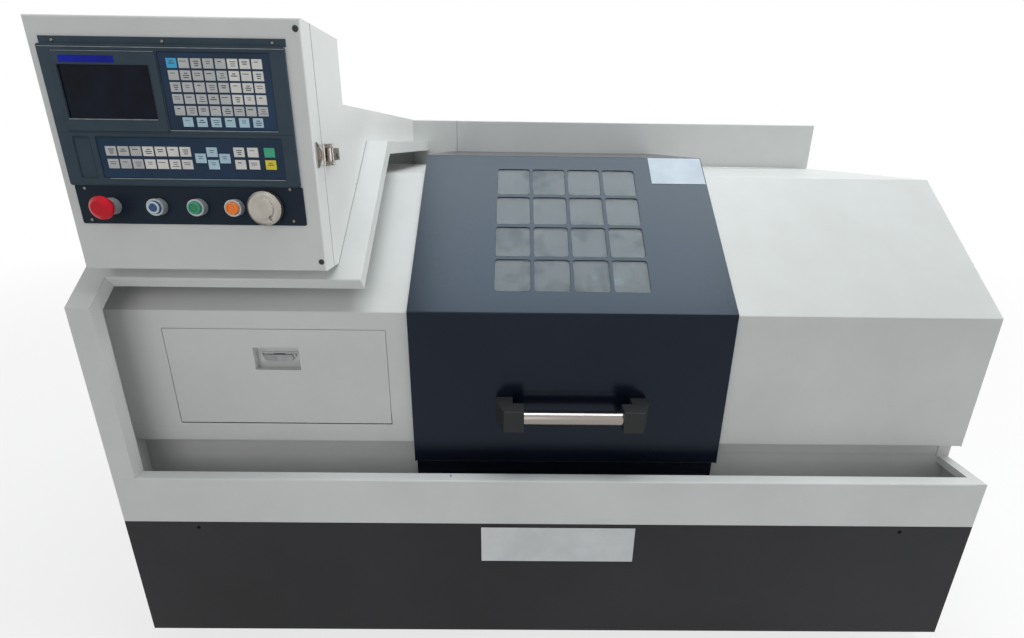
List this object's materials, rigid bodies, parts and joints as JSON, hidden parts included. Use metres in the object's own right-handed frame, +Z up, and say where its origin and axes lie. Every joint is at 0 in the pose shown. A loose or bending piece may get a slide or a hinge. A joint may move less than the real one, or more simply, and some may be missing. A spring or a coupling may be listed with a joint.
{
  "type": "cnc turning lathe",
  "caption": "Enclosed slant-front turning lathe with a sliding guard door, a control cabinet on the hood, a flat bed, chuck, tool turret and tailstock.",
  "frame": {"origin": "under the middle of the machine at floor level, midway between its front-most and rear-most points", "axes": "+X along the bed from the headstock to the tailstock, +Y from the operator's side to the back, +Z up"},
  "size_m": [1.858, 1.039, 1.3387],
  "materials": {
    "pale_paint": "satin",
    "door_paint": "satin",
    "base_paint": "satin",
    "window": "clear",
    "black_plastic": "matte",
    "bright_tube": "polished",
    "panel_face": "matte",
    "display": "gloss",
    "pale_keys": "matte",
    "stop_red": "gloss",
    "button_blue": "gloss",
    "button_green": "gloss",
    "button_orange": "gloss",
    "silver": "satin",
    "nickel": "satin",
    "ground_steel": "ground",
    "galvanised": "satin",
    "cast_grey": "painted",
    "motor_black": "satin",
    "belt_rubber": "matte"
  },
  "bodies": {
    "machine": {"base_cabinet": "base_paint", "levelling_feet": "galvanised", "enclosure_frame": "pale_paint", "chip_tray": "pale_paint", "left_cover": "pale_paint", "headstock_bulkhead": "pale_paint", "right_cover": "pale_paint", "door_rail": "ground_steel", "rear_beam": "pale_paint", "rear_panel_left": "pale_paint", "rear_panel_right": "pale_paint", "electrical_box": "galvanised", "control_cabinet": "pale_paint", "latch_base": "nickel", "bed": "cast_grey", "headstock": "cast_grey", "main_motor": "motor_black", "drive_belt": "belt_rubber", "screw_motor": "motor_black", "coolant_tank": "galvanised", "coolant_pump": "motor_black"},
    "guard_door": {"guard_door": "door_paint", "door_window": "window", "handle_brackets": "black_plastic", "handle_tube": "bright_tube", "door_carriages": "black_plastic"},
    "access_door": {"access_door": "pale_paint"},
    "access_latch": {"access_latch": "nickel"},
    "control_door": {"control_door": "pale_paint", "control_unit": "panel_face", "screen": "display", "input_keys": "pale_keys", "operation_keys": "pale_keys", "button_plate": "panel_face", "button_bezels": "silver", "latch_keeper": "nickel"},
    "emergency_stop": {"emergency_stop": "stop_red"},
    "blue_button": {"blue_button": "button_blue"},
    "green_button": {"green_button": "button_green"},
    "orange_button": {"orange_button": "button_orange"},
    "hand_wheel": {"hand_wheel": "silver"},
    "latch_lever": {"latch_lever": "nickel"},
    "latch_loop": {"latch_loop": "nickel"},
    "electrical_door": {"electrical_door": "pale_paint"},
    "spindle": {"spindle": "ground_steel", "chuck_body": "ground_steel"},
    "jaw_1": {"chuck_jaw_1": "ground_steel"},
    "jaw_2": {"chuck_jaw_2": "ground_steel"},
    "jaw_3": {"chuck_jaw_3": "ground_steel"},
    "motor_pulley": {"motor_pulley": "ground_steel"},
    "saddle": {"saddle": "cast_grey", "cross_motor": "motor_black"},
    "cross_screw": {"cross_screw": "ground_steel"},
    "cross_slide": {"cross_slide": "cast_grey", "turret_base": "cast_grey"},
    "turret_head": {"turret_head": "ground_steel"},
    "lead_screw": {"lead_screw": "ground_steel"},
    "tailstock": {"tailstock": "cast_grey"},
    "quill": {"quill": "ground_steel"},
    "quill_handwheel": {"quill_handwheel": "ground_steel"}
  },
  "joints": [
    {"name": "guard_door_slide", "type": "slide", "parent": "machine", "child": "guard_door", "axis": [1, 0, 0], "range_m": [0, 0.505]},
    {"name": "access_door_hinge", "type": "hinge", "parent": "machine", "child": "access_door", "pos_m": [-0.587, -0.405, 0.5648], "axis": [1, 0, 0], "range_deg": [0, 90]},
    {"name": "access_latch_hinge", "type": "hinge", "parent": "access_door", "child": "access_latch", "pos_m": [-0.587, -0.3995, 0.7175], "axis": [-1, 0, 0], "range_deg": [0, 30]},
    {"name": "control_door_hinge", "type": "hinge", "parent": "machine", "child": "control_door", "pos_m": [-0.8855, -0.43715, 1.055], "axis": [0, 0, -1], "range_deg": [0, 110]},
    {"name": "emergency_stop_press", "type": "slide", "parent": "control_door", "child": "emergency_stop", "axis": [0, 1, 0], "range_m": [0, 0.005]},
    {"name": "hand_wheel_turn", "type": "hinge", "parent": "control_door", "child": "hand_wheel", "pos_m": [-0.529, -0.4945, 1.0375], "axis": [0, 1, 0], "continuous": true},
    {"name": "latch_lever_hinge", "type": "hinge", "parent": "machine", "child": "latch_lever", "pos_m": [-0.4295, -0.4225, 1.128], "axis": [0, 0, -1], "range_deg": [0, 110]},
    {"name": "latch_loop_hinge", "type": "hinge", "parent": "latch_lever", "child": "latch_loop", "pos_m": [-0.427, -0.4115, 1.128], "axis": [0, 0, -1], "range_deg": [-110, 0]},
    {"name": "electrical_door_hinge", "type": "hinge", "parent": "machine", "child": "electrical_door", "pos_m": [-0.8733, 0.4898, 0.755], "axis": [0, 0, 1], "range_deg": [0, 110]},
    {"name": "spindle_turn", "type": "hinge", "parent": "machine", "child": "spindle", "pos_m": [-0.529, -0.0245, 0.8], "axis": [1, 0, 0], "continuous": true},
    {"name": "motor_pulley_turn", "type": "hinge", "parent": "machine", "child": "motor_pulley", "pos_m": [-0.709, -0.0245, 0.215], "axis": [1, 0, 0], "continuous": true},
    {"name": "saddle_travel", "type": "slide", "parent": "machine", "child": "saddle", "axis": [1, 0, 0], "range_m": [-0.22, 0.2]},
    {"name": "lead_screw_turn", "type": "hinge", "parent": "machine", "child": "lead_screw", "pos_m": [0.171, -0.1565, 0.545], "axis": [1, 0, 0], "range_deg": [-13200, 12000]},
    {"name": "cross_slide_travel", "type": "slide", "parent": "saddle", "child": "cross_slide", "axis": [0, -1, 0], "range_m": [-0.06, 0.08]},
    {"name": "cross_screw_turn", "type": "hinge", "parent": "saddle", "child": "cross_screw", "pos_m": [0.171, -0.0945, 0.667], "axis": [0, -1, 0], "range_deg": [-4320, 5760]},
    {"name": "turret_index", "type": "hinge", "parent": "cross_slide", "child": "turret_head", "pos_m": [0.171, -0.1945, 0.805], "axis": [0, 0, 1], "continuous": true},
    {"name": "tailstock_slide", "type": "slide", "parent": "machine", "child": "tailstock", "axis": [1, 0, 0], "range_m": [-0.2, 0]},
    {"name": "quill_feed", "type": "slide", "parent": "tailstock", "child": "quill", "axis": [-1, 0, 0], "range_m": [0, 0.1]},
    {"name": "quill_handwheel_turn", "type": "hinge", "parent": "tailstock", "child": "quill_handwheel", "pos_m": [0.721, -0.0245, 0.8], "axis": [-1, 0, 0], "range_deg": [0, 7200]},
    {"name": "blue_button_press", "type": "slide", "parent": "control_door", "child": "blue_button", "axis": [0, 1, 0], "range_m": [0, 0.003], "stiffness_N_per_m": 800},
    {"name": "green_button_press", "type": "slide", "parent": "control_door", "child": "green_button", "axis": [0, 1, 0], "range_m": [0, 0.003], "stiffness_N_per_m": 800},
    {"name": "orange_button_press", "type": "slide", "parent": "control_door", "child": "orange_button", "axis": [0, 1, 0], "range_m": [0, 0.003], "stiffness_N_per_m": 800},
    {"name": "jaw_1_slide", "type": "slide", "parent": "spindle", "child": "jaw_1", "axis": [0, 0, 1], "range_m": [-0.008, 0.01]},
    {"name": "jaw_2_slide", "type": "slide", "parent": "spindle", "child": "jaw_2", "axis": [0, -0.866, -0.5], "range_m": [-0.008, 0.01]},
    {"name": "jaw_3_slide", "type": "slide", "parent": "spindle", "child": "jaw_3", "axis": [0, 0.866, -0.5], "range_m": [-0.008, 0.01]}
  ],
  "couplings": [
    {"joint": "latch_loop_hinge", "follows": "latch_lever_hinge", "ratio": -1},
    {"joint": "motor_pulley_turn", "follows": "spindle_turn", "ratio": 1.5455},
    {"joint": "lead_screw_turn", "follows": "saddle_travel", "rad_per_m": 1047.2},
    {"joint": "cross_screw_turn", "follows": "cross_slide_travel", "rad_per_m": 1256.6},
    {"joint": "quill_handwheel_turn", "follows": "quill_feed", "rad_per_m": 1256.6},
    {"joint": "jaw_2_slide", "follows": "jaw_1_slide", "ratio": 1},
    {"joint": "jaw_3_slide", "follows": "jaw_1_slide", "ratio": 1}
  ]
}
